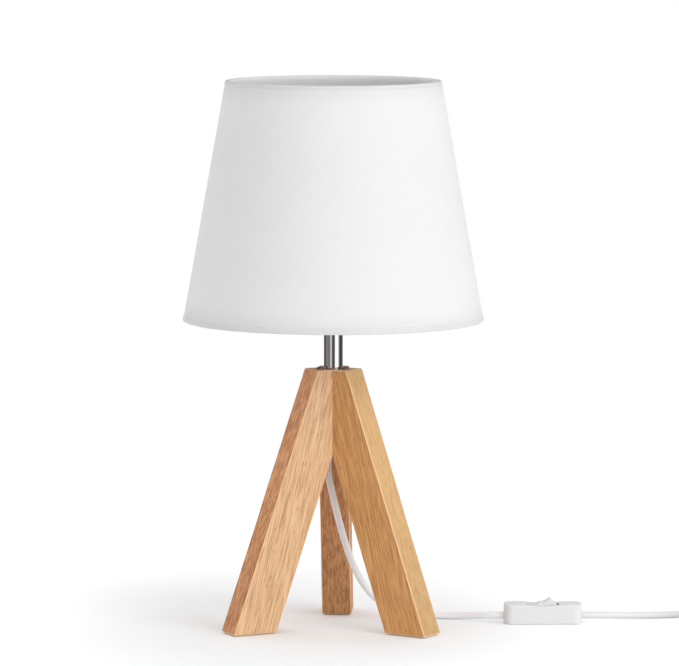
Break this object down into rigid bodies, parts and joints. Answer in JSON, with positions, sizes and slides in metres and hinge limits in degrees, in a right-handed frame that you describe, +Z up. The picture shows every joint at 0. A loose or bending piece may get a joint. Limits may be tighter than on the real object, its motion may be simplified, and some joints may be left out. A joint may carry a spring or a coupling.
{
  "type": "tripod table lamp",
  "caption": "Table lamp with a mitred wooden tripod, metal stem, tapered drum shade and a cord with inline rocker switch.",
  "frame": {"origin": "on the floor under the lamp's vertical axis", "axes": "+Z up along the stem, back leg towards +Y, cord and switch towards +X"},
  "size_m": [0.4722, 0.219, 0.4],
  "materials": {
    "rubberwood": "clear satin lacquer on square-cut bars",
    "felt": "pressed felt",
    "zinc_steel": "zinc-plated steel",
    "dark_steel": "dark plated screws",
    "brushed_nickel": "brushed along the tube",
    "white_holder_plastic": "moulded thermoset",
    "ceramic": "glazed insert",
    "brass": "stamped",
    "shade_fabric": "fine woven cotton blend, laminated",
    "shade_liner": "smooth translucent sheet",
    "hem_tape": "folded tape",
    "white_wire": "white powder coat",
    "bulb_plastic": "white housing",
    "bulb_opal": "opal diffuser",
    "bulb_cap_metal": "rolled thread",
    "black_insulator": "black glass-like insulator",
    "white_cord": "smooth round sheath",
    "switch_plastic": "satin moulded",
    "tie_strap": "woven strap",
    "lead_insulation": "insulated lead"
  },
  "bodies": {
    "base": {"leg_back": "rubberwood", "leg_left": "rubberwood", "leg_right": "rubberwood", "foot_pads": "felt", "screw_plate": "zinc_steel", "head_screws": "dark_steel", "threaded_rod": "zinc_steel", "head_washer": "zinc_steel", "head_nut": "zinc_steel", "rod_bushing": "white_holder_plastic", "stem_tube": "brushed_nickel", "holder_cap": "white_holder_plastic", "holder_body": "white_holder_plastic", "holder_insert": "ceramic", "holder_terminals": "brass", "terminal_screws": "zinc_steel", "screw_shell": "brass", "centre_contact": "brass", "cord_inner": "white_cord", "inner_leads": "lead_insulation", "cord_upper": "white_cord", "cord_lower": "white_cord", "cord_tail": "white_cord", "cord_coil": "white_cord", "cord_tie": "tie_strap", "switch_top_cover": "switch_plastic", "switch_bottom_cover": "switch_plastic", "switch_contacts": "brass", "contact_screws": "zinc_steel", "cord_clamps": "switch_plastic", "housing_screws": "zinc_steel", "plug_body": "white_cord", "plug_pins": "brass", "plug_sleeves": "black_insulator"},
    "shade": {"shade_fabric": "shade_fabric", "shade_liner": "shade_liner", "shade_low_ring": "white_wire", "shade_top_ring": "white_wire", "shade_low_hem": "hem_tape", "shade_top_hem": "hem_tape", "shade_collar": "white_wire", "shade_arms": "white_wire"},
    "ring": {"ring_nut": "white_holder_plastic"},
    "bulb": {"bulb_contact": "zinc_steel", "bulb_insulator": "black_insulator", "bulb_cap": "bulb_cap_metal", "bulb_housing": "bulb_plastic", "bulb_globe": "bulb_opal"},
    "rocker": {"switch_rocker": "switch_plastic", "switch_bridge": "brass"}
  },
  "joints": [
    {"name": "rocker_tilt", "type": "hinge", "parent": "base", "child": "rocker", "pos_m": [0.1532, 0.0266, 0.00645], "axis": [-0.0523, 0.9986, 0], "range_deg": [0, 36]},
    {"name": "shade_turn", "type": "hinge", "parent": "base", "child": "shade", "pos_m": [0, 0, 0.262], "axis": [0, 0, 1], "continuous": true},
    {"name": "ring_nut_unscrew", "type": "slide", "parent": "base", "child": "ring", "axis": [0, 0, 1], "range_m": [0, 0.025]},
    {"name": "bulb_removal", "type": "slide", "parent": "base", "child": "bulb", "axis": [0, 0, 1], "range_m": [0, 0.135]}
  ]
}
